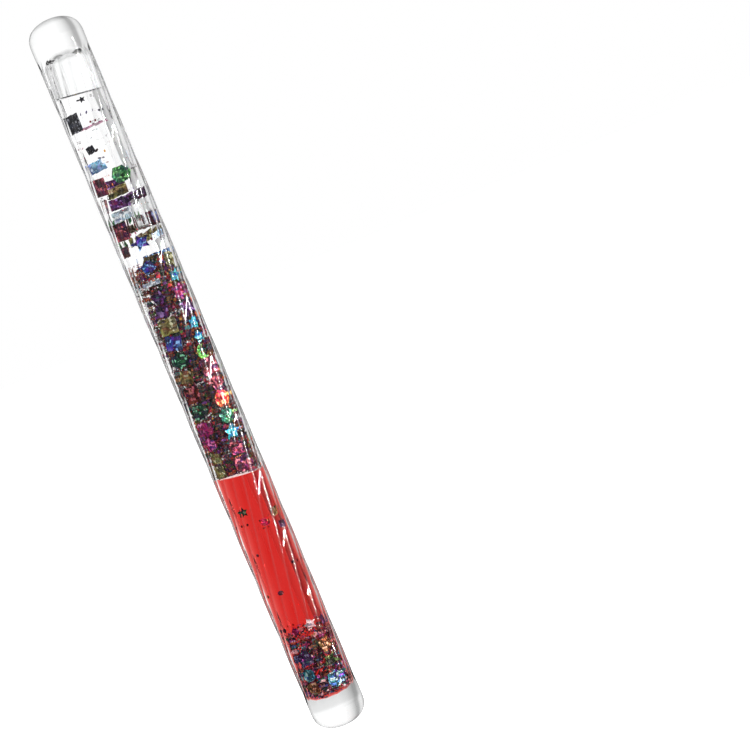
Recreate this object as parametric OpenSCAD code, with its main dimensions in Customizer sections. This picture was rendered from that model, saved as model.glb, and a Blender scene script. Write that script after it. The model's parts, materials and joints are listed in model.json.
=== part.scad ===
// Spiral confetti wand: a sealed clear tube, two bonded domed plugs, two liquids and loose foil confetti.
// The wand's axis is Z, its middle is the origin, and the end with the red liquid points down.

/* [Clear body] */
// Length over both domes
wand_length = 165; // [160:1:180]
// Diameter over the ridges and the end bands
wand_d = 12; // [11:0.5:14]
// Diameter of the sealed bore
bore_d = 7.8; // [7.4:0.1:8.2]

/* [Spiral flutes] */
// Number of flutes round the tube
flute_count = 16; // [10:1:20]
// Depth of a flute below its two ridges
flute_depth = 0.16; // [0.1:0.02:0.24]
// Length of tube in which a ridge turns once
flute_lead = 216; // [150:2:400]
// Slices that the twist is built from
flute_slices = 38; // [24:2:44]

/* [End plugs] */
// Height of a dome
dome_h = 4.2; // [3:0.1:5]
// Rounding between a dome's crown and its side
shoulder_r = 2.4; // [1.5:0.1:3]
// Plain round band between a dome and the fluted tube
band_h = 2.3; // [1.5:0.1:3]
// Depth that a plug's spigot reaches into the bore
spigot_h = 2; // [1:0.1:2]
// Depth of the round dish in a plug's inner face
dish_depth = 1.4; // [0.6:0.1:2.8]

/* [Liquids] */
// Height of the surface between the red and the clear liquid
red_level = -23.5; // [-24.5:0.1:-23.4]
// Height of the clear liquid's surface under the air space
clear_level = 65; // [63:0.5:70]
// Slope of both surfaces, as the wand is held at a slant
surface_slope = 8.5; // [0:0.5:9]

/* [Confetti] */
// Thickness of the foil
foil_t = 0.1; // [0.06:0.02:0.12]
// Scale of every flake, where 1 is the largest that its place holds
flake_scale = 1; // [0.7:0.05:1]
// How deep a star is cut in, from its tips towards its middle
star_waist = 0.48; // [0.38:0.02:0.6]

/* [Hidden] */

$fn = 64;
wand_r = wand_d / 2;
bore_r = bore_d / 2;
half_length = wand_length / 2;
tube_half = half_length - dome_h - band_h;
cavity_half = tube_half - spigot_h;
// Thickness of the cement between a spigot and the bore
cement_gap = 0.03;
// Flat rim round the dish in a plug's inner face
dish_rim = 0.2;
// Room left between a liquid and the solids that it wets
wet_gap = 0.02;
// Half the width and half the height of the largest packed flake
flake_r = 2;
// Room left between the bore and the flakes
wall_gap = 0.1;
reach_r = bore_r - wall_gap;

// Points of an arc about (x, y)
function arc(x, y, r, from, to, steps) =
    [for (i = [0:steps]) let (a = from + (to - from) * i / steps) [x + r * cos(a), y + r * sin(a)]];

// ---- Clear body ----

// Concave flutes with a sharp ridge between each pair, as points round the tube
function flute_depth_at(share) = flute_depth * (1 - pow(2 * share - 1, 2));
flute_points = 3;
flute_outline = [
    for (i = [0:flute_count * flute_points - 1])
        let (
            a = 360 * i / (flute_count * flute_points),
            r = wand_r - flute_depth_at((i % flute_points) / flute_points))
        [r * cos(a), r * sin(a)]];

module wand_tube() {
    color("aliceblue", 0.35)
        difference() {
            translate([0, 0, -tube_half])
                linear_extrude(2 * tube_half, twist = -360 * 2 * tube_half / flute_lead, slices = flute_slices)
                    polygon(flute_outline);
            cylinder(h = 3 * tube_half, r = bore_r, center = true);
        }
}

// Radius of a crown that meets the shoulder arc smoothly, and the angle at which they meet
shoulder_x = wand_r - shoulder_r;
crown_rise = dome_h - shoulder_r;
crown_r = shoulder_r + (pow(shoulder_x, 2) + pow(crown_rise, 2)) / (2 * crown_rise);
crown_angle = asin((crown_r - dome_h) / (crown_r - shoulder_r));

// The ball that a dish is cut with
dish_edge_r = bore_r - dish_rim;
dish_ball_r = (pow(dish_edge_r, 2) + pow(dish_depth, 2)) / (2 * dish_depth);
dish_ball_z = cavity_half + dish_depth - dish_ball_r;

// Straight pieces that each arc of a dome is drawn with
crown_steps = 12;
shoulder_steps = 8;

module end_plug() {
    crown = arc(0, dome_h - crown_r, crown_r, crown_angle, 90, crown_steps);
    shoulder = arc(shoulder_x, 0, shoulder_r, 0, crown_angle, shoulder_steps);
    difference() {
        union() {
            rotate_extrude()
                translate([0, tube_half + band_h])
                    polygon(concat([[0, -band_h], [wand_r, -band_h]], shoulder, crown));
            translate([0, 0, cavity_half])
                cylinder(h = spigot_h, r = bore_r - cement_gap);
        }
        translate([0, 0, dish_ball_z])
            sphere(dish_ball_r);
    }
}

module upper_end_plug() {
    color("lightcyan", 0.4) end_plug();
}

module lower_end_plug() {
    color("lightcyan", 0.4) mirror([0, 0, 1]) end_plug();
}

// ---- Flake outlines ----

// Sides and radii of the shapes, as shares of a flake's r
square_side = 1.94;
long_side = 1.96;
oblong_side = 1.2;
strip_side = 0.6;
disc_share = 0.9;
// Distance between the centres of a crescent's two circles, as a share of the largest flake's r
crescent_shift = 0.55;
// How far the corners of a star and a hexagon move out for each millimetre that their sides do
star_corner = 3;
hexagon_corner = 1.2;

module star(r) {
    polygon([
        for (i = [0:9]) let (a = 90 + 36 * i, q = i % 2 == 0 ? r : r * star_waist) [q * cos(a), q * sin(a)]]);
}

module crescent(r, grow) {
    difference() {
        circle(r);
        translate([crescent_shift * flake_r, 0])
            circle(r - 2 * grow);
    }
}

// A flake's outline, with grow added all round for the room that it takes up in a liquid
module outline(shape, size, grow) {
    r = flake_r * size * flake_scale;
    if (shape == "star") star(r + star_corner * grow);
    if (shape == "hexagon") circle(r + hexagon_corner * grow, $fn = 6);
    if (shape == "disc") circle(disc_share * r + grow);
    if (shape == "square") square(square_side * r + 2 * grow, center = true);
    if (shape == "oblong") square([long_side * r + 2 * grow, oblong_side * r + 2 * grow], center = true);
    if (shape == "strip") square([long_side * r + 2 * grow, strip_side * r + 2 * grow], center = true);
    if (shape == "crescent") crescent(r + grow, grow);
}

// A flake is [name, shape, size, height, azimuth, distance from the axis, spin, lean, yaw].
// Azimuth 0 faces -Y, lean tips the flake's upper edge outwards, and yaw turns it about its own upright line.
module flake(f, grow = 0) {
    translate([0, 0, f[3]])
        rotate([0, 0, f[4]])
            translate([0, -f[5], 0])
                rotate([0, 0, f[8]])
                    rotate([90 + f[7], 0, 0])
                        rotate([0, 0, f[6]])
                            linear_extrude(foil_t + 2 * grow, center = true)
                                outline(f[1], f[2], grow);
}

module flakes(list, name) {
    for (f = list)
        if (f[0] == name)
            flake(f);
}

module pockets(list) {
    for (f = list)
        flake(f, wet_gap);
}

// ---- Confetti that floats in the clear liquid, each flake in its own place ----

// A flake by the wall, as far out as its size and its lean let it go
function wall_distance(size, lean) =
    let (half = flake_r * size)
    sqrt(pow(reach_r, 2) - pow(half, 2)) - foil_t / 2 - half * sin(abs(lean));

function by_wall(name, shape, size, height, azimuth, spin, lean = 0) =
    [name, shape, size, height, azimuth, wall_distance(size, lean), spin, lean, 0];

floating_confetti = [
    by_wall("charcoal_squares", "square", 1.04, 59.7, -61, 3),
    ["magenta_square", "square", 0.95, 57.9, 12, 0.4, 8, 84, 0],
    by_wall("charcoal_squares", "square", 0.42, 53.2, -34, 14),
    by_wall("blue_oblong", "oblong", 1, 49.4, -46, 4, 8),
    by_wall("green_hexagons", "hexagon", 1, 46.1, 26, 0, -5),
    by_wall("maroon_squares", "square", 1, 45.0, -62, -3),
    ["gold_oblongs", "oblong", 0.92, 42.9, -10, 1.95, 3, -8, 0],
    by_wall("purple_oblongs", "oblong", 1, 40.4, -17, -3, 6),
    by_wall("silver_oblongs", "oblong", 0.98, 37.8, -28, 3, -8),
    by_wall("maroon_squares", "square", 1, 34.5, -52, -3),
    by_wall("indigo_star", "star", 0.98, 30.9, -4, 12),
    by_wall("maroon_squares", "square", 0.6, 30.1, -68, 4),
    ["gold_oblongs", "oblong", 0.7, 34.3, -45, 1.6, 4, 12, 0],
    by_wall("maroon_squares", "square", 0.85, 34.9, 158, 8, -8),
    by_wall("purple_oblongs", "oblong", 0.9, 40.6, 150, -4, 8),
    by_wall("maroon_squares", "square", 0.75, 40.9, 245, 10, -6),
    by_wall("indigo_star", "star", 0.85, 35.2, 98, 5, -8),
    by_wall("purple_oblongs", "oblong", 0.8, 31.0, 112, 5, 8),
    by_wall("green_hexagons", "hexagon", 0.7, 31.4, 235, 0, 10),
    by_wall("purple_oblongs", "oblong", 0.9, 44.6, 200, 6, 12),
    by_wall("green_hexagons", "hexagon", 0.8, 36.5, 215, 20, -12),
    by_wall("gold_oblongs", "oblong", 0.85, 31.6, 170, -8, 10),
    by_wall("silver_oblongs", "oblong", 0.6, 31.2, 62, 9, 14)];

// A flake that the air space's edge holds against the wall
clinging_confetti = [by_wall("charcoal_star", "star", 0.45, 63.9, -1, 8, 38)];

module clinging_charcoal_star() {
    color("darkslategray") flakes(clinging_confetti, "charcoal_star");
}

module floating_charcoal_squares() {
    color("darkslategray") flakes(floating_confetti, "charcoal_squares");
}

module floating_magenta_square() {
    color("mediumvioletred") flakes(floating_confetti, "magenta_square");
}

module floating_blue_oblong() {
    color("lightskyblue") flakes(floating_confetti, "blue_oblong");
}

module floating_green_hexagons() {
    color("forestgreen") flakes(floating_confetti, "green_hexagons");
}

module floating_maroon_squares() {
    color("maroon") flakes(floating_confetti, "maroon_squares");
}

module floating_gold_oblongs() {
    color("darkkhaki") flakes(floating_confetti, "gold_oblongs");
}

module floating_purple_oblongs() {
    color("indigo") flakes(floating_confetti, "purple_oblongs");
}

module floating_silver_oblongs() {
    color("lightsteelblue") flakes(floating_confetti, "silver_oblongs");
}

module floating_indigo_star() {
    color("midnightblue") flakes(floating_confetti, "indigo_star");
}

// ---- Packed confetti: flakes in four lanes that wind slowly up the wall, round a core of tilted flakes ----

// Shape of each kind of flake in a pack
KINDS = [
    ["green_stars", "star"], ["lime_crescents", "crescent"], ["teal_stars", "star"],
    ["indigo_squares", "square"], ["purple_squares", "square"], ["magenta_hexagons", "hexagon"],
    ["red_discs", "disc"], ["gold_squares", "square"], ["silver_strips", "strip"],
    ["maroon_squares", "square"], ["bottle_hexagons", "hexagon"], ["silver_stars", "star"],
    ["teal_hexagons", "hexagon"]];
function shape_of(name) = KINDS[search([name], KINDS)[0]][1];
function straight_sided(shape) = shape == "square" || shape == "strip";

lanes = 4;
// Degrees that a lane winds for each millimetre up, and most that a flake strays from its lane
lane_wind = 1;
stray_most = 2.5;
// Smallest flake of a lane, as a share of the largest, and the gap from one to the next
smallest_share = 0.76;
lane_gap = 0.05;
// Most that a flake in a lane leans, and most that a straight-sided one is turned in its plane
lean_most = 8;
turn_most = 40;
// Sizes of the round and the straight-sided flakes in the core
core_size = 0.88;
core_square_size = 0.68;
// Pitch of the core's flakes along the axis, the turn from one to the next, and their tilt
core_pitch = 1;
core_turn = 23;
core_tilt = 42;
// Most that a core flake's tilt differs from that, and the room under and over the core's flakes
core_stray = 3;
core_margin = 1.45;
// Azimuth, to either side of the front, up to which a row names the kind of a flake
front_most = 78;
// Steps through the list of kinds from one flake to the next, from one lane to the next, and up the core
kind_step = 4;
lane_step = 3;
core_step = 7;
// Random numbers drawn for each flake, and the most flakes in one lane or in a core
draws = 4;
most_flakes = 60;

function between(share, low, high) = low + (high - low) * share;
function drawn(noise, i) = [for (k = [0:draws - 1]) noise[i * draws + k]];
function share_of(noise, i) = between(noise[i * draws], smallest_share, 1);

// Height and size of each flake in a lane, from the bottom up
function places(low, high, size, noise) =
    [for (
        i = 0, share = size * share_of(noise, 0), z = low + flake_r * share;
        z + flake_r * share < high;
        i = i + 1, last = share, share = size * share_of(noise, i), z = z + flake_r * (last + share) + lane_gap)
        [z, share]];

// The azimuth between -180 and 180 that is the same as another
function wrapped(azimuth) = azimuth - 360 * round(azimuth / 360);

// Kind of a flake at a height and an azimuth. Each row has a height, and the kinds at the left and right front
// above it.
function kind_at(rows, height, azimuth, other) =
    abs(azimuth) > front_most ? other : [for (row = rows) if (row[0] < height) row[azimuth < 0 ? 1 : 2]][0];

// One flake in a lane. n holds its random numbers.
function lane_flake(name, size, height, azimuth, n) =
    let (
        shape = shape_of(name),
        straight = straight_sided(shape),
        spin = straight ? between(n[1], -turn_most, turn_most) * n[2] : between(n[1], 0, 360),
        fit = straight ? 1 / (cos(spin) + sin(abs(spin))) : 1,
        lean = between(n[3], -lean_most, lean_most))
    [name, shape, size * fit, height, azimuth, wall_distance(size, lean), spin, lean, 0];

// One flake of the core, which is a stack of tilted flakes that turns as it climbs
function core_flake(name, size, height, step, n) =
    let (shape = shape_of(name))
    [name, shape, size * (straight_sided(shape) ? core_square_size : core_size), height, step * core_turn, 0,
        between(n[1], 0, 360), 90 - core_tilt + between(n[2], -core_stray, core_stray), 0];

// Every flake of a pack between two heights, with its first lane at an azimuth where it passes mid-length.
// Flakes not named in the rows take turns from the whole list.
function pack(low, high, size, first_azimuth, rows, others, seed) =
    let (noise = [for (lane = [0:lanes]) rands(0, 1, most_flakes * draws, seed + lane)])
    concat(
        [for (lane = [0:lanes - 1])
            let (list = places(low, high, size, noise[lane]))
            for (i = [0:len(list) - 1])
                let (
                    n = drawn(noise[lane], i),
                    height = list[i][0],
                    stray = between(n[2], -stray_most, stray_most),
                    azimuth = wrapped(first_azimuth + 360 * lane / lanes + lane_wind * height + stray),
                    other = others[(i * kind_step + lane * lane_step) % len(others)])
                lane_flake(kind_at(rows, height, azimuth, other), list[i][1], height, azimuth, n)],
        [for (step = [0:floor((high - low - 2 * core_margin) / core_pitch)])
            core_flake(others[(step * core_step + lane_step) % len(others)], size,
                low + core_margin + step * core_pitch, step, drawn(noise[lanes], step))]);

// ---- Confetti held up as a raft on the red liquid ----

// Room between the red liquid's surface and the raft, and between the plug and the bed
raft_gap = 0.6;
bed_gap = 0.1;
raft_bottom = red_level + raft_gap;
raft_top = 28.4;
raft_rows = [
    [25, "indigo_squares", "gold_squares"], [21.5, "silver_strips", "teal_stars"],
    [19, "green_stars", "purple_squares"], [15, "purple_squares", "magenta_hexagons"],
    [12.3, "indigo_squares", "purple_squares"], [8.8, "gold_squares", "teal_stars"],
    [5, "indigo_squares", "teal_stars"], [1, "bottle_hexagons", "lime_crescents"],
    [-3.5, "gold_squares", "maroon_squares"], [-7, "maroon_squares", "red_discs"],
    [-11, "bottle_hexagons", "bottle_hexagons"], [-15.2, "magenta_hexagons", "teal_stars"],
    [-17.5, "lime_crescents", "bottle_hexagons"], [-40, "gold_squares", "maroon_squares"]];
raft_kinds = [
    "green_stars", "maroon_squares", "teal_stars", "indigo_squares", "purple_squares", "magenta_hexagons",
    "red_discs", "bottle_hexagons", "silver_strips", "gold_squares", "lime_crescents"];
raft_confetti = pack(raft_bottom, raft_top, 1, -40, raft_rows, raft_kinds, 11);

module raft_green_stars() {
    color("seagreen") flakes(raft_confetti, "green_stars");
}

module raft_lime_crescents() {
    color("limegreen") flakes(raft_confetti, "lime_crescents");
}

module raft_teal_stars() {
    color("teal") flakes(raft_confetti, "teal_stars");
}

module raft_indigo_squares() {
    color("darkslateblue") flakes(raft_confetti, "indigo_squares");
}

module raft_purple_squares() {
    color("rebeccapurple") flakes(raft_confetti, "purple_squares");
}

module raft_magenta_hexagons() {
    color("mediumvioletred") flakes(raft_confetti, "magenta_hexagons");
}

module raft_red_discs() {
    color("crimson") flakes(raft_confetti, "red_discs");
}

module raft_gold_squares() {
    color("goldenrod") flakes(raft_confetti, "gold_squares");
}

module raft_silver_strips() {
    color("silver") flakes(raft_confetti, "silver_strips");
}

module raft_maroon_squares() {
    color("maroon") flakes(raft_confetti, "maroon_squares");
}

module raft_bottle_hexagons() {
    color("darkgreen") flakes(raft_confetti, "bottle_hexagons");
}

// ---- Confetti sinking through the red liquid, each flake in its own place ----

sinking_confetti = [
    by_wall("bottle_star", "star", 0.62, -31.1, -38, 0, 10),
    by_wall("red_hexagon", "hexagon", 0.5, -34.7, 19, 10, -15),
    by_wall("gold_square", "square", 0.5, -33.4, 66, 5, 8),
    by_wall("purple_square", "square", 0.42, -36.6, 72, -8, -8),
    by_wall("specks", "hexagon", 0.2, -40.9, -45, 0),
    by_wall("specks", "hexagon", 0.26, -50.2, -23, 20),
    by_wall("specks", "hexagon", 0.2, -45.5, 150, 10)];

module sinking_bottle_star() {
    color("darkgreen") flakes(sinking_confetti, "bottle_star");
}

module sinking_red_hexagon() {
    color("crimson") flakes(sinking_confetti, "red_hexagon");
}

module sinking_gold_square() {
    color("olive") flakes(sinking_confetti, "gold_square");
}

module sinking_purple_square() {
    color("rebeccapurple") flakes(sinking_confetti, "purple_square");
}

module sinking_specks() {
    color("maroon") flakes(sinking_confetti, "specks");
}

// ---- Confetti sunk to the bottom of the red liquid ----

sunk_bottom = -cavity_half + bed_gap;
sunk_top = -60.5;
sunk_rows = [
    [-66, "indigo_squares", "gold_squares"], [-70, "teal_hexagons", "green_stars"],
    [-90, "gold_squares", "teal_hexagons"]];
sunk_kinds = [
    "purple_squares", "red_discs", "teal_hexagons", "indigo_squares", "bottle_hexagons", "magenta_hexagons",
    "green_stars", "gold_squares", "silver_stars"];
sunk_confetti = concat(
    pack(sunk_bottom, sunk_top, 1, 21, sunk_rows, sunk_kinds, 5),
    [by_wall("silver_stars", "star", 0.72, -58.9, 24, 10, 6),
        by_wall("purple_squares", "square", 0.55, -59.2, 78, 12, -8),
        by_wall("magenta_hexagons", "hexagon", 0.5, -59.3, -30, 0, 10)]);

module sunk_silver_stars() {
    color("silver") flakes(sunk_confetti, "silver_stars");
}

module sunk_teal_hexagons() {
    color("teal") flakes(sunk_confetti, "teal_hexagons");
}

module sunk_indigo_squares() {
    color("darkslateblue") flakes(sunk_confetti, "indigo_squares");
}

module sunk_magenta_hexagons() {
    color("mediumvioletred") flakes(sunk_confetti, "magenta_hexagons");
}

module sunk_green_stars() {
    color("seagreen") flakes(sunk_confetti, "green_stars");
}

module sunk_gold_squares() {
    color("goldenrod") flakes(sunk_confetti, "gold_squares");
}

module sunk_purple_squares() {
    color("rebeccapurple") flakes(sunk_confetti, "purple_squares");
}

module sunk_red_discs() {
    color("crimson") flakes(sunk_confetti, "red_discs");
}

module sunk_bottle_hexagons() {
    color("darkgreen") flakes(sunk_confetti, "bottle_hexagons");
}

// ---- Liquids ----

// Everything below a sloping surface that crosses the axis at a height
module below(level) {
    translate([0, 0, level])
        rotate([0, surface_slope, 0])
            translate([-wand_d, -wand_d, -2 * wand_length])
                cube([2 * wand_d, 2 * wand_d, 2 * wand_length]);
}

// Everything in the bore, down into the lower plug's dish, below a sloping surface
module column_below(level) {
    intersection() {
        translate([0, 0, -2 * cavity_half])
            cylinder(h = 3 * cavity_half, r = bore_r - wet_gap);
        union() {
            translate([0, 0, -cavity_half + wet_gap])
                cylinder(h = 2 * cavity_half, r = bore_r);
            translate([0, 0, -dish_ball_z])
                sphere(dish_ball_r - wet_gap);
        }
        below(level);
    }
}

// A long air bubble against the wall, seen in the clear liquid
bubble_r = 1.2;
bubble_length = 6.8;
bubble_middle = 36.6;
bubble_azimuth = 34;
// Liquid left between the bubble and the bore
bubble_gap = 0.15;

module bubble() {
    straight = bubble_length - 2 * bubble_r;
    rotate([0, 0, bubble_azimuth])
        translate([0, -(bore_r - bubble_r - bubble_gap), bubble_middle]) {
            cylinder(h = straight, r = bubble_r, center = true);
            for (side = [-1, 1])
                translate([0, 0, side * straight / 2])
                    sphere(bubble_r);
        }
}

module clear_liquid() {
    color("white", 0.2)
        difference() {
            column_below(clear_level);
            below(red_level + wet_gap);
            pockets(clinging_confetti);
            pockets(floating_confetti);
            pockets(raft_confetti);
            bubble();
        }
}

module red_liquid() {
    color("red", 0.75)
        difference() {
            column_below(red_level);
            pockets(sinking_confetti);
            pockets(sunk_confetti);
        }
}

wand_tube();
upper_end_plug();
lower_end_plug();
clear_liquid();
red_liquid();
clinging_charcoal_star();
floating_charcoal_squares();
floating_magenta_square();
floating_blue_oblong();
floating_green_hexagons();
floating_maroon_squares();
floating_gold_oblongs();
floating_purple_oblongs();
floating_silver_oblongs();
floating_indigo_star();
raft_green_stars();
raft_lime_crescents();
raft_teal_stars();
raft_indigo_squares();
raft_purple_squares();
raft_magenta_hexagons();
raft_red_discs();
raft_gold_squares();
raft_silver_strips();
raft_maroon_squares();
raft_bottle_hexagons();
sinking_bottle_star();
sinking_red_hexagon();
sinking_gold_square();
sinking_purple_square();
sinking_specks();
sunk_silver_stars();
sunk_teal_hexagons();
sunk_indigo_squares();
sunk_magenta_hexagons();
sunk_green_stars();
sunk_gold_squares();
sunk_purple_squares();
sunk_red_discs();
sunk_bottle_hexagons();
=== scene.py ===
"""A spiral confetti wand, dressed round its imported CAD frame.

Lengths are in metres, and MM turns millimetres into them.
"""
import json
import math
import random

import bpy
from mathutils import Matrix, Vector
from mathutils.bvhtree import BVHTree


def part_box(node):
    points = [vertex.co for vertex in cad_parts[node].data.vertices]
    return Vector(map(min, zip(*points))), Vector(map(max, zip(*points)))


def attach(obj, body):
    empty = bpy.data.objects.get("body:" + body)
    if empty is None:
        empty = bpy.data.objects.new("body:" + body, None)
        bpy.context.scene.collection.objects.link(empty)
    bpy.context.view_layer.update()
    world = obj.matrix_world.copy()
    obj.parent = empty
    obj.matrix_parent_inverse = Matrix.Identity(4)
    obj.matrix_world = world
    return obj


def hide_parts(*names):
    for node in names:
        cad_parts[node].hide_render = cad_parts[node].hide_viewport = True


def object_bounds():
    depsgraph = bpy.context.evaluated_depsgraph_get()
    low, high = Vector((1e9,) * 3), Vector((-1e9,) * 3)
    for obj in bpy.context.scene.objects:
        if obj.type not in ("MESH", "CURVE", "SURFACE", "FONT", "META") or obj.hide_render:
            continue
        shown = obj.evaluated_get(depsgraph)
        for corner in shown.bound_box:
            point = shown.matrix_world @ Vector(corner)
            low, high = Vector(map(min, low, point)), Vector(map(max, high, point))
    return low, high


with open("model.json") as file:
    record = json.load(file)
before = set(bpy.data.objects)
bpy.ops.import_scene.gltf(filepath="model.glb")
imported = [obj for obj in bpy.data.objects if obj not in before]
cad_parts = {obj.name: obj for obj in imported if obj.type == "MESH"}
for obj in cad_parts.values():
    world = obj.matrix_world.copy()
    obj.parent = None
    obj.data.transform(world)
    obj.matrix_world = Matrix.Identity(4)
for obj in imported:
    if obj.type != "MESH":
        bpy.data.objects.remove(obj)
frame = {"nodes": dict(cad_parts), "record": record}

MM = 0.001

# ---- Places and sizes that the frame gives ----

CAD_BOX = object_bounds()
TUBE_LOW, TUBE_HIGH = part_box("wand_tube")
UPPER_LOW, UPPER_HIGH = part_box("upper_end_plug")
LOWER_LOW, LOWER_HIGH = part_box("lower_end_plug")
CLEAR_LOW, CLEAR_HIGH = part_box("clear_liquid")
RED_LOW, RED_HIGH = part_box("red_liquid")
WAND_R = UPPER_HIGH.x
CAVITY_TOP = UPPER_LOW.z
CAVITY_FLOOR = LOWER_HIGH.z
LIQUID_GAP = 0.02 * MM  # between the CAD's liquids and the walls round them
BORE_R = RED_HIGH.x + LIQUID_GAP
DISH_DEPTH = CAVITY_FLOOR - RED_LOW.z + LIQUID_GAP

# ---- Shape of the clear body, close to the CAD's ----

FLUTES = 16
FLUTE_DEPTH = 0.166 * MM
RIDGE_START = 0.85  # where, from a flute's middle to its ridge, the ridge's rounding begins
FLUTE_LEAD = 216 * MM
DOME_H = 5.0 * MM  # from the foot, where the side begins to round in almost unseen
FOOT_POWER = 2.6  # how gently a dome or an end of the cavity rounds in, and how blunt it is
TIP_POWER = 2.1
# Places of the mesh's columns in a flute, as in flute_dip, closest where the ridges are round
FLUTE_COLUMNS = [
    -1, -0.96, -0.92, -0.88, -0.82, -0.6, -0.36, -0.12, 0.12, 0.36, 0.6, 0.82, 0.88, 0.92, 0.96]
ROW_STEP = 0.6 * MM
FADE = 3.5 * MM  # length over which the flutes run out at each end
DOME_STEPS = 26
DISH_STEPS = 16

# ---- Liquids ----

SURFACE_SLOPE = math.tan(math.radians(8.5))
FILM = 0.004 * MM  # acrylic left between a liquid's surface and whatever it meets
MENISCUS = 0.35 * MM
MENISCUS_START = 0.7  # share of the bore's radius from which a surface climbs
# Shares of the radius at which a liquid's surface has its rings, between the middle and the wall
SURFACE_SHARES = [0.15, 0.3, 0.45, 0.6, MENISCUS_START, 0.78, 0.86, 0.93]
FLOOR_ROUNDING = 0.5 * MM  # how far from its lower and its upper end the cavity begins to round in
CEILING_ROUNDING = 3.2 * MM
RED_LEVEL = RED_HIGH.z - BORE_R * SURFACE_SLOPE
CLEAR_LEVEL = CLEAR_HIGH.z - BORE_R * SURFACE_SLOPE


def mesh_object(name, points, faces, material, body, smooth=True):
    """A piece made of points and faces, with its material, riding on a body."""
    mesh = bpy.data.meshes.new(name)
    mesh.from_pydata(points, [], faces)
    mesh.validate()
    mesh.shade_smooth() if smooth else mesh.shade_flat()
    piece = bpy.data.objects.new(name, mesh)
    bpy.context.scene.collection.objects.link(piece)
    mesh.materials.append(material)
    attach(piece, body)
    return piece


def skin(rings, inward=False):
    """Points and faces of a closed skin. A ring is a list of points, or of one point where it closes."""
    points, faces, starts = [], [], []
    for ring in rings:
        starts.append(len(points))
        points.extend(ring)
    for low, high in zip(range(len(rings) - 1), range(1, len(rings))):
        a, b = starts[low], starts[high]
        count = max(len(rings[low]), len(rings[high]))
        for i in range(count):
            j = (i + 1) % count
            if len(rings[low]) == 1:
                face = (a, b + j, b + i)
            elif len(rings[high]) == 1:
                face = (a + i, a + j, b)
            else:
                face = (a + i, a + j, b + j, b + i)
            faces.append(face[::-1] if inward else face)
    return points, faces


def joined(*skins):
    """Points and faces of several skins in one mesh."""
    points, faces = [], []
    for more_points, more_faces in skins:
        base = len(points)
        points.extend(more_points)
        faces.extend(tuple(base + i for i in face) for face in more_faces)
    return points, faces


# ---- Materials ----


class Tree:
    """A new material's nodes, with short ways to add and join them."""

    def __init__(self, name):
        self.material = bpy.data.materials.new(name)
        self.material.use_nodes = True
        self.nodes = self.material.node_tree.nodes
        self.links = self.material.node_tree.links
        self.nodes.clear()
        self.out = self.nodes.new("ShaderNodeOutputMaterial")

    def add(self, kind, inputs=None, **settings):
        node = self.nodes.new("ShaderNode" + kind)
        for key, value in settings.items():
            setattr(node, key, value)
        for key, value in (inputs or {}).items():
            if isinstance(value, bpy.types.NodeSocket):
                self.links.new(value, node.inputs[key])
            else:
                node.inputs[key].default_value = value
        return node

    def ramp(self, factor, stops, interpolation="LINEAR"):
        node = self.add("ValToRGB", {"Fac": factor})
        ramp = node.color_ramp
        ramp.interpolation = interpolation
        while len(ramp.elements) < len(stops):
            ramp.elements.new(0.5)
        for element, (place, colour) in zip(ramp.elements, stops):
            element.position = place
            element.color = (*colour, 1)
        return node.outputs["Color"]

    def object_mm(self):
        """Object coordinates in millimetres."""
        place = self.add("TexCoord").outputs["Object"]
        return self.add("VectorMath", {0: place, "Scale": 1 / MM}, operation="SCALE").outputs["Vector"]


def clear_shader(tree, ior, tint, ripple_scale, ripple, shine=0.0):
    """A clear glossy solid or liquid with faint ripples. Its shadow lets light through to what it holds."""
    place = tree.object_mm()
    ripples = tree.add("TexNoise", {"Vector": place, "Scale": ripple_scale, "Detail": 2.0})
    bump = tree.add("Bump", {"Height": ripples.outputs["Fac"], "Strength": ripple, "Distance": 0.1 * MM})
    clouds = tree.add("TexNoise", {"Vector": place, "Scale": 0.35, "Detail": 3.0})
    colour = tree.ramp(clouds.outputs["Fac"], [(0.3, tint), (0.7, (1.0, 1.0, 1.0))])
    clear = tree.add(
        "BsdfPrincipled",
        {"Base Color": colour, "Roughness": 0.0, "IOR": ior, "Transmission Weight": 1.0,
         "Coat Weight": shine, "Coat Roughness": 0.14, "Coat IOR": 1.9, "Normal": bump.outputs["Normal"]})
    through = tree.add("BsdfTransparent", {"Color": (*tint, 1)})
    rays = tree.add("LightPath")
    shadow = rays.outputs["Is Shadow Ray"]
    mix = tree.add("MixShader", {0: shadow, 1: clear.outputs[0], 2: through.outputs[0]})
    tree.links.new(mix.outputs[0], tree.out.inputs["Surface"])


def clear_acrylic():
    """Clear acrylic, glossiest on the polished ridges between the flutes."""
    tree = Tree("clear_acrylic")
    place = tree.add("SeparateXYZ", {0: tree.object_mm()})
    across = tree.add("CombineXYZ", {0: place.outputs["X"], 1: place.outputs["Y"]})
    reach = tree.add("VectorMath", {0: across.outputs[0]}, operation="LENGTH").outputs["Value"]
    ridge_foot = (WAND_R - flute_dip(RIDGE_START)) / MM
    ridge_edge = 0.02  # millimetres over which the coat sets in
    ridge = tree.add(
        "MapRange", {"Value": reach, "From Min": ridge_foot - ridge_edge, "From Max": ridge_foot})
    height = tree.add("Math", {0: place.outputs["Z"]}, operation="ABSOLUTE").outputs[0]
    fluted = tree.add(
        "MapRange", {"Value": height, "From Min": TUBE_HIGH.z / MM, "From Max": (TUBE_HIGH.z - FADE) / MM})
    shine = tree.add("Math", {0: ridge.outputs[0], 1: fluted.outputs[0]}, operation="MULTIPLY").outputs[0]
    clear_shader(tree, ior=1.49, tint=(0.975, 0.985, 0.985), ripple_scale=0.8, ripple=0.04, shine=shine)
    return tree.material


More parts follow.
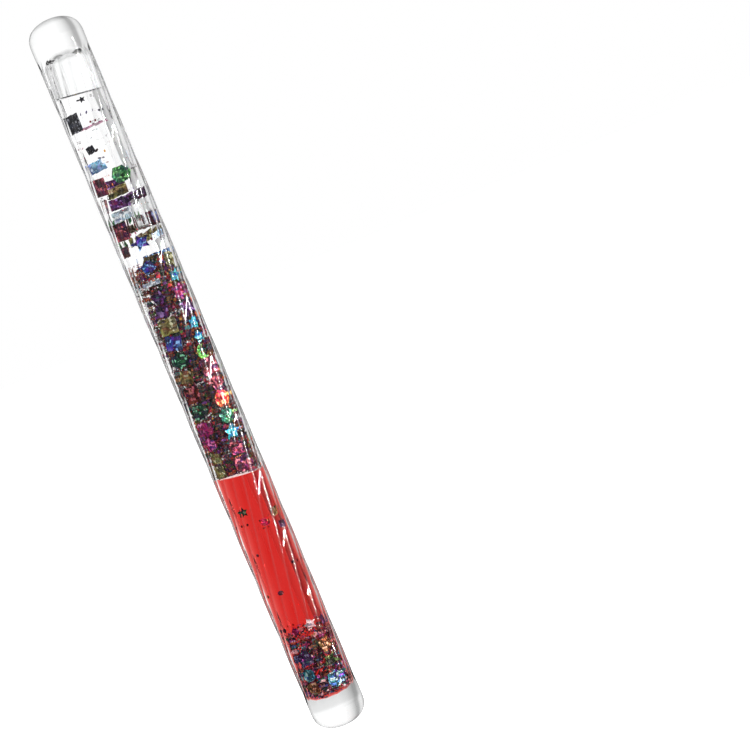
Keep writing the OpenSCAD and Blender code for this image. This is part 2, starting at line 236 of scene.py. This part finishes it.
def clear_liquid_material():
    """The liquids lie inside the acrylic's outline, so their index is the one against acrylic, near 1."""
    tree = Tree("clear_liquid")
    clear_shader(tree, ior=1.01, tint=(0.985, 0.98, 0.985), ripple_scale=0.6, ripple=0.03)
    return tree.material


def red_liquid_material():
    """The red liquid absorbs green and blue over its depth, and only its index marks its surface."""
    tree = Tree("red_liquid")
    clear_shader(tree, ior=1.005, tint=(1.0, 0.9, 0.88), ripple_scale=0.5, ripple=0.03)
    absorb = tree.add("VolumeAbsorption", {"Color": (0.90, 0.055, 0.01, 1), "Density": 520.0})
    tree.links.new(absorb.outputs[0], tree.out.inputs["Volume"])
    return tree.material


def foil(name, dark, main, glint, odd):
    """Creased holographic film. Soft patches of its dark, main and odd colours wander in hue and value, and
    fine facets chosen at random carry a painted glint in their colour. Each flake has a pattern of its own,
    and on over a quarter of them the colours change places."""
    tree = Tree(name)
    island = tree.add("NewGeometry").outputs["Random Per Island"]
    shift = tree.add(
        "VectorMath", {0: island, 1: (31.0, 17.0, 23.0), 2: tree.object_mm()}, operation="MULTIPLY_ADD")
    place = shift.outputs["Vector"]
    patches = tree.add("TexNoise", {"Vector": place, "Scale": 0.75, "Detail": 1.5, "Distortion": 0.5})
    body = tree.ramp(patches.outputs["Fac"], [(0.36, dark), (0.52, main), (0.68, odd)])
    swapped = tree.ramp(patches.outputs["Fac"], [(0.36, odd), (0.5, dark), (0.66, main)])
    flip = tree.add("Math", {0: island, 1: 0.72}, operation="GREATER_THAN")
    colour = tree.add("Mix", {"Factor": flip.outputs[0], "A": body, "B": swapped}, data_type="RGBA")
    facets = tree.add("TexVoronoi", {"Vector": place, "Scale": 1.7, "Randomness": 1.0})
    sparks = tree.add("SeparateColor", {"Color": facets.outputs["Color"]})
    # Painted glint: about one facet in seven is picked at random to take the glint colour
    bright = tree.ramp(sparks.outputs["Red"], [(0.80, (0, 0, 0)), (0.9, (1, 1, 1))])
    wander = tree.add("TexNoise", {"Vector": place, "Scale": 0.5, "Detail": 1.0})
    hue = tree.add("MapRange", {
        "Value": wander.outputs["Fac"], "From Min": 0.3, "From Max": 0.7, "To Min": 0.45, "To Max": 0.55})
    shadows = tree.add("TexNoise", {"Vector": place, "Scale": 0.7, "Detail": 3.0, "Distortion": 1.0})
    value = tree.add("MapRange", {
        "Value": shadows.outputs["Fac"], "From Min": 0.4, "From Max": 0.62, "To Min": 0.36, "To Max": 1.45})
    varied = tree.add("HueSaturation", {
        "Hue": hue.outputs[0], "Value": value.outputs[0], "Color": colour.outputs["Result"]})
    # The painted glint goes into the base colour, so it shows under any light
    lit = tree.add("Mix", {"Factor": bright, "A": varied.outputs[0], "B": (*glint, 1)}, data_type="RGBA")
    creases = tree.add("TexNoise", {"Vector": place, "Scale": 1.1, "Detail": 1.0, "Distortion": 0.4})
    bump = tree.add("Bump", {"Height": creases.outputs["Fac"], "Strength": 0.6, "Distance": 0.5 * MM})
    rough = tree.add("MapRange", {"Value": sparks.outputs["Blue"], "To Min": 0.16, "To Max": 0.42})
    film = tree.add("BsdfPrincipled", {
        "Base Color": lit.outputs["Result"], "Metallic": 0.8, "Roughness": rough.outputs["Result"],
        "Normal": bump.outputs["Normal"]})
    tree.links.new(film.outputs[0], tree.out.inputs["Surface"])
    return tree.material


# Colours of each foil: dark, main, painted glint and odd
FOILS = {
    "foil_charcoal": ((0.012, 0.012, 0.016), (0.04, 0.04, 0.05), (0.30, 0.30, 0.34), (0.02, 0.03, 0.05)),
    "foil_magenta": ((0.12, 0.004, 0.05), (0.42, 0.012, 0.13), (0.95, 0.25, 0.55), (0.10, 0.01, 0.20)),
    "foil_blue": ((0.12, 0.24, 0.50), (0.26, 0.44, 0.76), (0.70, 0.84, 1.00), (0.36, 0.50, 0.76)),
    "foil_green": ((0.003, 0.018, 0.006), (0.010, 0.075, 0.014), (0.16, 0.40, 0.14), (0.01, 0.04, 0.04)),
    "foil_maroon": ((0.025, 0.004, 0.01), (0.13, 0.008, 0.02), (0.60, 0.15, 0.18), (0.05, 0.006, 0.05)),
    "foil_gold": ((0.06, 0.05, 0.015), (0.27, 0.23, 0.08), (0.72, 0.70, 0.46), (0.18, 0.08, 0.03)),
    "foil_purple": ((0.015, 0.004, 0.026), (0.05, 0.012, 0.085), (0.34, 0.18, 0.46), (0.12, 0.006, 0.045)),
    "foil_silver": ((0.38, 0.45, 0.52), (0.80, 0.88, 0.96), (1.00, 1.00, 1.00), (0.40, 0.54, 0.74)),
    "foil_indigo": ((0.008, 0.01, 0.07), (0.03, 0.05, 0.34), (0.30, 0.56, 0.98), (0.12, 0.015, 0.26)),
    "foil_lime": ((0.02, 0.14, 0.01), (0.16, 0.60, 0.05), (0.70, 1.00, 0.45), (0.02, 0.22, 0.08)),
    "foil_teal": ((0.006, 0.08, 0.11), (0.015, 0.34, 0.42), (0.36, 0.94, 0.98), (0.02, 0.06, 0.42)),
    "foil_red": ((0.12, 0.004, 0.004), (0.55, 0.02, 0.01), (1.00, 0.40, 0.20), (0.50, 0.12, 0.01)),
    "foil_bottle_green": (
        (0.003, 0.02, 0.012), (0.006, 0.08, 0.035), (0.25, 0.65, 0.40), (0.015, 0.012, 0.04)),
}


def glitter_material(name, hues, metallic):
    """Fine glitter whose flakes each take one of many hues."""
    tree = Tree(name)
    place = tree.object_mm()
    island = tree.add("NewGeometry").outputs["Random Per Island"]
    stops = [(i / len(hues), hue) for i, hue in enumerate(hues)]
    hue = tree.ramp(island, stops, "CONSTANT")
    noise = tree.add("TexNoise", {"Vector": place, "Scale": 6.0, "Detail": 1.0})
    rough = tree.add("MapRange", {"Value": noise.outputs["Fac"], "To Min": 0.1, "To Max": 0.4})
    film = tree.add(
        "BsdfPrincipled", {"Base Color": hue, "Metallic": metallic, "Roughness": rough.outputs[0]})
    tree.links.new(film.outputs[0], tree.out.inputs["Surface"])
    return tree.material


# Hues of the glitter in the clear liquid, and of the brighter glitter in the red
CLEAR_GLITTER = [
    (0.62, 0.05, 0.07), (0.44, 0.05, 0.14), (0.18, 0.04, 0.24), (0.08, 0.06, 0.16), (0.04, 0.16, 0.16),
    (0.08, 0.15, 0.04), (0.58, 0.30, 0.08), (0.05, 0.02, 0.025), (0.38, 0.03, 0.04), (0.75, 0.20, 0.07)]
RED_GLITTER = [
    (0.80, 0.88, 1.00), (0.36, 0.12, 0.60), (0.10, 0.22, 0.85), (0.04, 0.58, 0.85), (0.05, 0.50, 0.38),
    (0.45, 0.45, 0.22), (0.02, 0.01, 0.04), (0.40, 0.12, 0.45), (0.02, 0.04, 0.16), (0.90, 0.97, 1.00)]

# Grey of the room seen through the wand: from left to right, from behind the camera to behind the wand, and
# from straight down to straight up
ROOM_FLAGS = [
    (0.0, 0.5), (0.03, 0.65), (0.10, 0.85), (0.15, 0.72), (0.19, 0.42), (0.24, 0.4), (0.29, 0.62),
    (0.36, 0.86), (0.44, 1.0), (0.72, 1.0), (0.86, 1.0), (0.93, 0.85), (1.0, 0.6)]
ROOM_DEPTH = [(0.0, 0.85), (0.4, 0.9), (0.55, 1.0), (1.0, 1.0)]
ROOM_HEIGHT = [(0.0, 0.8), (0.25, 0.9), (0.42, 1.0), (0.76, 1.0), (0.86, 0.86), (0.93, 0.72), (1.0, 0.6)]
ROOM_GLOW = 1.13
REFLECTED_ROOM = 0.22
FLOOR_GLOW = 1.12
NEAR_FLOOR = 0.62  # share of its glow that the floor keeps near the wand, where a painted shadow dims it


def floor_material():
    """Plain pale floor, faintly mottled. The camera sees it evenly lit, and reflections see it as dim as the
    room. Seen through the wand its glow carries on the room's flags as painted shade, and a painted shadow
    dims it near the wand."""
    tree = Tree("pale_floor")
    place = tree.add("TexCoord").outputs["Object"]
    mottle = tree.add("TexNoise", {"Vector": place, "Scale": 4.0, "Detail": 4.0})
    colour = tree.ramp(mottle.outputs["Fac"], [(0.3, (0.93, 0.93, 0.93)), (0.7, (0.96, 0.96, 0.96))])
    paint = tree.add(
        "BsdfPrincipled",
        {"Base Color": colour, "Roughness": 0.8, "Emission Color": (1, 1, 1, 1), "Emission Strength": 1.0})
    rays = tree.add("LightPath")
    strength = tree.add("MapRange", {
        "Value": rays.outputs["Is Reflection Ray"], "To Min": FLOOR_GLOW, "To Max": REFLECTED_ROOM})
    direction = tree.add("VectorMath", {0: place}, operation="NORMALIZE").outputs[0]
    way = tree.add("SeparateXYZ", {0: direction})
    sideways = tree.add("MapRange", {"Value": way.outputs["X"], "From Min": -1.0})
    # Painted shade: the room's grey flags multiplied into the floor's glow
    flags = tree.ramp(sideways.outputs[0], [(share, (grey, grey, grey)) for share, grey in ROOM_FLAGS])
    away = tree.add("VectorMath", {0: place}, operation="LENGTH").outputs["Value"]
    # Painted shadow: the floor's glow dims near the wand
    near = tree.add("MapRange", {"Value": away, "From Min": 0.13, "From Max": 0.32, "To Min": NEAR_FLOOR})
    lowered = tree.add("Math", {0: strength.outputs[0], 1: near.outputs[0]}, operation="MULTIPLY")
    shaded = tree.add(
        "Mix", {"Factor": 1.0, "A": colour, "B": flags}, data_type="RGBA", blend_type="MULTIPLY")
    glow = tree.add("Emission", {"Color": shaded.outputs["Result"], "Strength": lowered.outputs[0]})
    mix = tree.add("MixShader", {0: rays.outputs["Is Camera Ray"], 1: glow.outputs[0], 2: paint.outputs[0]})
    tree.links.new(mix.outputs[0], tree.out.inputs["Surface"])
    return tree.material


# ---- Clear body ----


def rounded_end(radius, height, steps):
    """Radius and rise of the points of a rounded end, from its foot to just short of its tip."""
    profile = []
    for i in range(steps):
        share = math.sin(math.pi / 2 * (i / steps))
        profile.append((radius * (1 - share**FOOT_POWER) ** (1 / TIP_POWER), height * share))
    return profile


def flute_dip(across):
    """How far a flute lies below the round outline, from its middle, 0, to the round ridges at -1 and 1."""
    u = abs(across)
    if u < RIDGE_START:
        return FLUTE_DEPTH * (1 - u * u)
    past = u - RIDGE_START
    rise = 2 * FLUTE_DEPTH * RIDGE_START * (past - past**2 / (2 * (1 - RIDGE_START)))
    return FLUTE_DEPTH * (1 - RIDGE_START**2) - rise


def fluted_ring(radius, z, fade):
    """Points round the wand at one height, dipping into the flutes by their depth times fade."""
    turn = 2 * math.pi * min(max(z, TUBE_LOW.z), TUBE_HIGH.z) / FLUTE_LEAD
    ring = []
    for i in range(FLUTES):
        for across in FLUTE_COLUMNS:
            r = radius - fade * flute_dip(across)
            a = turn + 2 * math.pi * (i + (across + 1) / 2) / FLUTES
            ring.append((r * math.cos(a), r * math.sin(a), z))
    return ring


def outer_skin():
    """The clear body's outside: the lower dome, the fluted length and the upper dome."""
    foot = UPPER_HIGH.z - DOME_H
    dome = rounded_end(WAND_R, DOME_H, DOME_STEPS)
    rings = [[(0, 0, LOWER_LOW.z)]]
    for r, h in reversed(dome):
        rings.append(fluted_ring(r, -foot - h, 0))
    z = TUBE_LOW.z
    while z < TUBE_HIGH.z + ROW_STEP / 2:
        share = min(z - TUBE_LOW.z, TUBE_HIGH.z - z) / FADE
        share = min(max(share, 0), 1)
        rings.append(fluted_ring(WAND_R, z, share * share * (3 - 2 * share)))
        z += ROW_STEP
    for r, h in dome:
        rings.append(fluted_ring(r, foot + h, 0))
    rings.append([(0, 0, UPPER_HIGH.z)])
    return skin(rings)


def round_ring(radius, height, count=96):
    """Points round the bore. height is a number, or a function of x and y."""
    ring = []
    for i in range(count):
        a = 2 * math.pi * i / count
        x, y = radius * math.cos(a), radius * math.sin(a)
        ring.append((x, y, height(x, y) if callable(height) else height))
    return ring


def dish_rings(wall_end, deepest):
    """Rings of a rounded end of the cavity, from the wall to the middle."""
    profile = rounded_end(BORE_R, deepest - wall_end, DISH_STEPS)
    return [round_ring(r, wall_end + h) for r, h in profile[1:]] + [[(0, 0, deepest)]]


def dish_floor(x, y):
    """Height at which glitter can rest on the cavity's floor."""
    across = min(1.0, math.hypot(x, y) / BORE_R)
    wall_end = CAVITY_FLOOR + FLOOR_ROUNDING
    depth = wall_end - (CAVITY_FLOOR - DISH_DEPTH)
    return wall_end - depth * (1 - across**TIP_POWER) ** (1 / FOOT_POWER) + GLITTER_REST


def air_space(rows=60):
    """The air over the clear liquid, a hollow in the clear body under the upper plug's dish."""
    low = surface(CLEAR_LEVEL + FILM, BORE_R)
    rings = surface_rings(low, BORE_R, True)
    wall_end = CAVITY_TOP - CEILING_ROUNDING
    for i in range(rows + 1):
        share = i / rows
        rings.append(round_ring(BORE_R, lambda x, y: low(x, y) * (1 - share) + wall_end * share))
    return skin(rings + dish_rings(wall_end, CAVITY_TOP + DISH_DEPTH), inward=True)


def clear_body(material):
    """The tube and both plugs as one clear body. The liquids lie in it, so its only hollows are air."""
    skins = joined(outer_skin(), air_space(), *wall_bubbles(STILL_BUBBLES))
    body = mesh_object("clear_fluted_body", *skins, material, "wand")
    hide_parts("wand_tube", "upper_end_plug", "lower_end_plug")


# ---- Liquids ----


def surface(level, radius):
    """Height of a liquid's sloping surface, which climbs a little at the wall."""

    def height(x, y):
        climb = max(0.0, math.hypot(x, y) / radius - MENISCUS_START) / (1 - MENISCUS_START)
        return level - x * SURFACE_SLOPE + MENISCUS * climb**2

    return height


def surface_rings(height, radius, outwards):
    """Rings of a liquid's surface, from the middle out or from the wall in, without the ring at the wall."""
    rings = [[(0, 0, height(0, 0))]] + [round_ring(radius * share, height) for share in SURFACE_SHARES]
    return rings if outwards else rings[::-1]


def bubble(x, y, z, radius, length=0.0, rows=16, count=32):
    """An air bubble's skin, which faces into the liquid. length is the straight stretch of a long one."""
    rings = [[(x, y, z - length / 2 - radius)]]
    for i in range(1, rows):
        a = math.pi * i / rows
        h = -radius * math.cos(a) + (length / 2 if i > rows / 2 else -length / 2)
        r = radius * math.sin(a)
        rings.append([
            (x + r * math.cos(t), y + r * math.sin(t), z + h)
            for t in (2 * math.pi * k / count for k in range(count))])
    rings.append([(x, y, z + length / 2 + radius)])
    return skin(rings, inward=True)


# Bubbles in the clear liquid: azimuth in degrees from -Y towards +X, then height, radius and straight length
# in mm. Those just under the air space stay there, and the others drift with the confetti.
STILL_BUBBLES = [(30, 64.0, 0.3, 0.0), (40, 63.6, 0.2, 0.0)]
DRIFTING_BUBBLES = [
    (34, 36.6, 1.2, 4.4), (62, 41.9, 0.42, 0.0), (48, 52.5, 0.3, 0.0), (30, 54.8, 0.2, 0.0),
    (-70, 55.6, 0.26, 0.0), (75, 29.9, 0.3, 0.0), (96, 46.5, 0.35, 0.0), (205, 42.3, 0.5, 0.0),
    (170, 58.5, 0.4, 0.0)]
BUBBLE_GAP = 0.12 * MM


def wall_bubbles(bubbles):
    """Skins of bubbles that lie by the wall."""
    skins = []
    for azimuth, z, r, length in bubbles:
        a = math.radians(azimuth)
        away = BORE_R - r * MM - BUBBLE_GAP
        skins.append(bubble(away * math.sin(a), -away * math.cos(a), z * MM, r * MM, length * MM))
    return skins


def drifting_bubbles(material):
    """The bubbles among the floating confetti, as skins that face into the liquid round them."""
    skins = joined(*wall_bubbles(DRIFTING_BUBBLES))
    piece = mesh_object("drifting_bubbles", *skins, material, "floating_confetti")


def clear_liquid(material, rows=60):
    """The clear liquid, from the red liquid's surface to its own. The air space is over it."""
    low = surface(RED_LEVEL + FILM, BORE_R)
    high = surface(CLEAR_LEVEL - FILM, BORE_R)
    rings = surface_rings(low, BORE_R, True)
    for i in range(rows + 1):
        share = i / rows
        rings.append(round_ring(BORE_R, lambda x, y: low(x, y) * (1 - share) + high(x, y) * share))
    rings += surface_rings(high, BORE_R, False)
    piece = mesh_object("clear_liquid_column", *skin(rings), material, "wand")
    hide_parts("clear_liquid")


def red_liquid(material, rows=30):
    """The red liquid, from the lower plug's dish to its own surface."""
    high = surface(RED_LEVEL - FILM, BORE_R)
    start = CAVITY_FLOOR + FLOOR_ROUNDING
    rings = dish_rings(start, CAVITY_FLOOR - DISH_DEPTH)[::-1]
    for i in range(rows + 1):
        share = i / rows
        rings.append(round_ring(BORE_R, lambda x, y: start * (1 - share) + high(x, y) * share))
    rings += surface_rings(high, BORE_R, False)
    piece = mesh_object("red_liquid_column", *skin(rings), material, "wand")
    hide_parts("red_liquid")


# ---- Confetti and glitter ----


def dress_confetti(foils):
    """Gives every CAD flake the foil that the record names for it."""
    for part in frame["record"]["subparts"]:
        material = foils.get(part["material_slot"])
        if material:
            node = frame["nodes"][part["node"]]
            node.data.materials.clear()
            node.data.materials.append(material)


def body_nodes(body):
    """Names of a body's CAD nodes."""
    return frame["record"]["behaviour"]["bodies"][body]


def body_span(body):
    """Lowest and highest point of a body's nodes."""
    boxes = [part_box(node) for node in body_nodes(body)]
    return min(low.z for low, high in boxes), max(high.z for low, high in boxes)


def flake_tree(body):
    """A search tree of a body's flakes."""
    points, faces = [], []
    for node in body_nodes(body):
        mesh = frame["nodes"][node].data
        base = len(points)
        points.extend(v.co.copy() for v in mesh.vertices)
        faces.extend(tuple(base + i for i in p.vertices) for p in mesh.polygons)
    return BVHTree.FromPolygons(points, faces)


def plate(centre, radius, thickness, turn, sides=6):
    """Points and faces of one tiny flat flake."""
    points = []
    for side in (-1, 1):
        for i in range(sides):
            a = 2 * math.pi * i / sides
            corner = Vector((radius * math.cos(a), radius * math.sin(a), side * thickness / 2))
            points.append(centre + turn @ corner)
    faces = [tuple(range(sides))[::-1], tuple(range(sides, 2 * sides))]
    faces += [(i, (i + 1) % sides, sides + (i + 1) % sides, sides + i) for i in range(sides)]
    return points, faces


# Power that spreads the glitter over the bore. 0.5 is even, and less brings it towards the wall.
WALL_BIAS = 0.3
GLITTER_TRIES = 8
GLITTER_THICKNESS = 0.02 * MM
GLITTER_REST = 0.05 * MM  # between the lowest glitter and what it rests on
WALL_CLEARANCE = 0.08 * MM
# Smallest and largest radius of the glitter, in mm. Most of it is near the smallest.
GLITTER_SIZES = (0.12, 0.6)


def fine_glitter(body, count, seed, material, ground=None, thinning=0.0, settling=1.0):
    """Glitter among a body's flakes, clear of them and of the wall, down to the lowest flake or to a given
    surface. thinning is the length in mm over which it thins out at the top. A settling above 1 packs it
    lower."""
    smallest, largest = GLITTER_SIZES
    draw = random.Random(seed)
    tree = flake_tree(body)
    low, high = body_span(body)
    skins = []
    for _ in range(count * GLITTER_TRIES):
        if len(skins) == count:
            break
        radius = (smallest + (largest - smallest) * draw.random() ** 2) * MM
        reach = (BORE_R - radius - WALL_CLEARANCE) * draw.random() ** WALL_BIAS
        a = draw.uniform(0, 2 * math.pi)
        x, y = reach * math.cos(a), reach * math.sin(a)
        edge = 1 + radius / reach
        start = ground(x * edge, y * edge) if ground else low
        room = high - thinning * MM * draw.random() - start - 2 * radius
        centre = Vector((x, y, start + radius + room * draw.random() ** settling))
        spin = Matrix.Rotation(draw.uniform(0, math.pi), 3, "Z")
        turn = spin @ Matrix.Rotation(draw.uniform(0, math.pi), 3, "X")
        near = tree.find_nearest(centre)
        if near[3] is None or near[3] > radius:
            skins.append(plate(centre, radius, GLITTER_THICKNESS, turn))
    piece = mesh_object("fine_glitter_" + body, *joined(*skins), material, body, smooth=False)


# ---- Stage ----


def floor(material):
    """A broad floor a little below the wand."""
    reach, drop = 3.0, 0.02
    z = CAD_BOX[0].z - drop
    mesh = bpy.data.meshes.new("floor")
    corners = [(-reach, -reach, z), (reach, -reach, z), (reach, reach, z), (-reach, reach, z)]
    mesh.from_pydata(corners, [], [(0, 1, 2, 3)])
    mesh.materials.append(material)
    piece = bpy.data.objects.new("floor", mesh)
    bpy.context.scene.collection.objects.link(piece)


def area_light(name, place, target, width, height, power, mirrored=True):
    """A rectangular light. Only a mirrored one shows in reflections and through the wand."""
    light = bpy.data.lights.new(name, "AREA")
    light.shape = "RECTANGLE"
    light.size, light.size_y = width, height
    light.energy = power
    lamp = bpy.data.objects.new(name, light)
    lamp.location = place
    lamp.rotation_euler = (Vector(target) - Vector(place)).to_track_quat("-Z", "Y").to_euler()
    lamp.visible_glossy = mirrored
    lamp.visible_transmission = mirrored
    bpy.context.scene.collection.objects.link(lamp)


def studio():
    """A white backdrop to the camera. Other rays see a bright room behind the wand, dimmer towards the
    camera's side, above and below, with grey flags that draw the clear parts. Reflections see a dim room with
    one narrow strip light."""
    world = bpy.data.worlds.new("studio")
    bpy.context.scene.world = world
    world.use_nodes = True
    nodes, links = world.node_tree.nodes, world.node_tree.links
    nodes.clear()

    def add(kind, *values, **settings):
        node = nodes.new("ShaderNode" + kind)
        for key, value in settings.items():
            setattr(node, key, value)
        for i, value in enumerate(values):
            if isinstance(value, bpy.types.NodeSocket):
                links.new(value, node.inputs[i])
            elif value is not None:
                node.inputs[i].default_value = value
        return node

    def grey_ramp(factor, stops):
        node = add("ValToRGB", factor)
        elements = node.color_ramp.elements
        while len(elements) < len(stops):
            elements.new(0.5)
        for element, (place, grey) in zip(elements, stops):
            element.position = place
            element.color = (grey, grey, grey, 1)
        return node.outputs[0]

    way = add("SeparateXYZ", add("TexCoord").outputs["Generated"])
    flat = add("CombineXYZ", way.outputs["X"], way.outputs["Y"])
    level = add("SeparateXYZ", add("VectorMath", flat.outputs[0], operation="NORMALIZE").outputs[0])
    flags = grey_ramp(add("MapRange", level.outputs["X"], -1.0, 1.0).outputs[0], ROOM_FLAGS)
    depth = grey_ramp(add("MapRange", level.outputs["Y"], -1.0, 1.0).outputs[0], ROOM_DEPTH)
    height = grey_ramp(add("MapRange", way.outputs["Z"], -1.0, 1.0).outputs[0], ROOM_HEIGHT)
    sides = add("Math", flags, depth, operation="MULTIPLY")
    shade = add("Math", sides.outputs[0], height, operation="MULTIPLY")
    room = add("Math", shade.outputs[0], ROOM_GLOW, operation="MULTIPLY")
    rays = add("LightPath")
    seen = add("MapRange", rays.outputs["Is Reflection Ray"], 0.0, 1.0, room.outputs[0], REFLECTED_ROOM)
    light = add("Background", None, seen.outputs[0])
    backdrop = add("Background", (1, 1, 1, 1), 1.0)
    mix = add("MixShader", rays.outputs["Is Camera Ray"], light.outputs[0], backdrop.outputs[0])
    links.new(mix.outputs[0], add("OutputWorld").inputs["Surface"])
    light.inputs["Color"].default_value = (1, 1, 1, 1)
    area_light("right_strip", (0.46, -0.195, -0.034), (0, 0, -0.034), width=0.008, height=0.26, power=2.8)
    area_light(
        "right_window", (0.45, -0.5, 0.2), (0, 0, 0), width=0.3, height=0.4, power=3.2, mirrored=False)
    area_light(
        "left_window", (-0.5, -0.55, 0.35), (0, 0, 0), width=0.3, height=0.4, power=5.0, mirrored=False)


def camera():
    """A long lens, nearly level, rolled so that the wand leans as it does in the hand."""
    frame_width = 161.5 * MM
    focal, sensor = 0.2, 0.036
    distance = frame_width * focal / sensor
    elevation, roll = math.radians(4), math.radians(22.67)
    right_of_wand, above_wand = 38.17 * MM, -0.2 * MM
    back = Vector((0, -math.cos(elevation), math.sin(elevation)))
    level_up = Vector((0, math.sin(elevation), math.cos(elevation)))
    up = math.cos(roll) * level_up + math.sin(roll) * Vector((1, 0, 0))
    right = up.cross(back)
    data = bpy.data.cameras.new("camera")
    data.lens, data.sensor_width = focal / MM, sensor / MM
    data.clip_start, data.clip_end = 0.05, 20
    eye = bpy.data.objects.new("camera", data)
    place = right * right_of_wand + up * above_wand + back * distance
    turn = Matrix((right, up, back)).transposed().to_4x4()
    eye.matrix_world = Matrix.Translation(place) @ turn
    bpy.context.scene.collection.objects.link(eye)
    bpy.context.scene.camera = eye


def build():
    foils = {name: foil(name, *colours) for name, colours in FOILS.items()}
    glitter = glitter_material("fine_glitter", CLEAR_GLITTER, 0.8)
    red_glitter = glitter_material("fine_glitter_in_red", RED_GLITTER, 0.5)
    acrylic = clear_acrylic()
    clear_body(acrylic)
    drifting_bubbles(acrylic)
    clear_liquid(clear_liquid_material())
    red_liquid(red_liquid_material())
    dress_confetti(foils)
    raft_ground = surface(RED_LEVEL + GLITTER_REST, BORE_R)
    fine_glitter("raft_confetti", 7000, 3, glitter, ground=raft_ground, thinning=4.0, settling=1.1)
    fine_glitter("sunk_confetti", 1900, 4, red_glitter, ground=dish_floor, thinning=3.5, settling=1.4)
    fine_glitter("floating_confetti", 60, 5, glitter)
    fine_glitter("sinking_confetti", 12, 6, glitter)
    floor(floor_material())
    studio()
    camera()
    bpy.context.scene.view_settings.view_transform = "Standard"


build()
